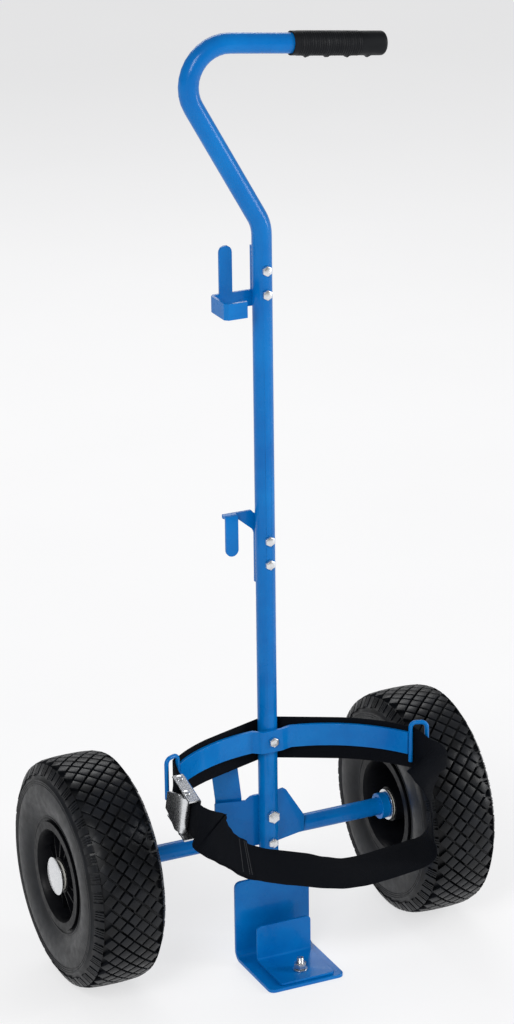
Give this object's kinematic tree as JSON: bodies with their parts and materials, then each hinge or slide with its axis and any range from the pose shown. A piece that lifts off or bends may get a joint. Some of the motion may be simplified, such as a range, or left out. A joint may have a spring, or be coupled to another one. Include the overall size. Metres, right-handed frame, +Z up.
{
  "type": "gas cylinder trolley",
  "caption": "Two-wheeled trolley for one gas cylinder: bent tube handle with side grip, hose hooks, strapped cradle, axle with pneumatic wheels and a foot tray.",
  "frame": {"origin": "floor level, middle of the footprint", "axes": "+X along the axle towards the side the grip points to, +Y to the rear, away from the cylinder, +Z up"},
  "size_m": [0.4972, 0.3078, 1.0659],
  "materials": {
    "blue_paint": "gloss",
    "zinc": "bright zinc plate",
    "grip_rubber": "matte",
    "tyre": "matte",
    "rim_plastic": "satin",
    "nylon": "satin",
    "webbing": "woven"
  },
  "bodies": {
    "frame": {"axle": "blue_paint", "axle_cap_left": "zinc", "axle_cap_right": "zinc", "axle_collar_left": "blue_paint", "axle_collar_right": "blue_paint", "axle_plate": "blue_paint", "axle_plate_bolt_low": "zinc", "axle_plate_bolt_top": "zinc", "axle_plate_nut_low": "zinc", "axle_plate_nut_top": "zinc", "band_bolt": "zinc", "band_brace": "blue_paint", "buckle_bar": "zinc", "buckle_frame": "zinc", "cradle_band": "blue_paint", "foot_nut": "zinc", "foot_plate": "blue_paint", "foot_stop": "blue_paint", "foot_stud": "zinc", "foot_washer": "zinc", "handle_grip": "grip_rubber", "hose_hook_lower": "blue_paint", "hose_hook_upper": "blue_paint", "lever_pin": "zinc", "lower_hook_bolt_low": "zinc", "lower_hook_bolt_top": "zinc", "lower_hook_nut_low": "zinc", "lower_hook_nut_top": "zinc", "strap": "webbing", "strap_guide_left": "blue_paint", "strap_guide_right": "blue_paint", "upper_hook_bolt_low": "zinc", "upper_hook_bolt_top": "zinc", "upper_hook_nut_low": "zinc", "upper_hook_nut_top": "zinc", "upright_tube": "blue_paint", "washer_inner_left": "zinc", "washer_inner_right": "zinc", "washer_outer_left": "zinc", "washer_outer_right": "zinc"},
    "wheel_left": {"tyre_left": "tyre", "rim_left": "rim_plastic", "bush_inner_left": "nylon", "bush_outer_left": "nylon"},
    "wheel_right": {"tyre_right": "tyre", "rim_right": "rim_plastic", "bush_inner_right": "nylon", "bush_outer_right": "nylon"},
    "cam_lever": {"buckle_lever": "zinc"}
  },
  "joints": [
    {"name": "wheel_left_spin", "type": "hinge", "parent": "frame", "child": "wheel_left", "pos_m": [-0.204, 0.0239, 0.13], "axis": [1, 0, 0], "continuous": true},
    {"name": "wheel_right_spin", "type": "hinge", "parent": "frame", "child": "wheel_right", "pos_m": [0.204, 0.0239, 0.13], "axis": [1, 0, 0], "continuous": true},
    {"name": "cam_lever_open", "type": "hinge", "parent": "frame", "child": "cam_lever", "pos_m": [-0.1465, -0.11151, 0.24397], "axis": [0, -0.2756, 0.9613], "range_deg": [0, 80], "stiffness_Nm_per_rad": 0.05, "springref_deg": -17.19}
  ]
}
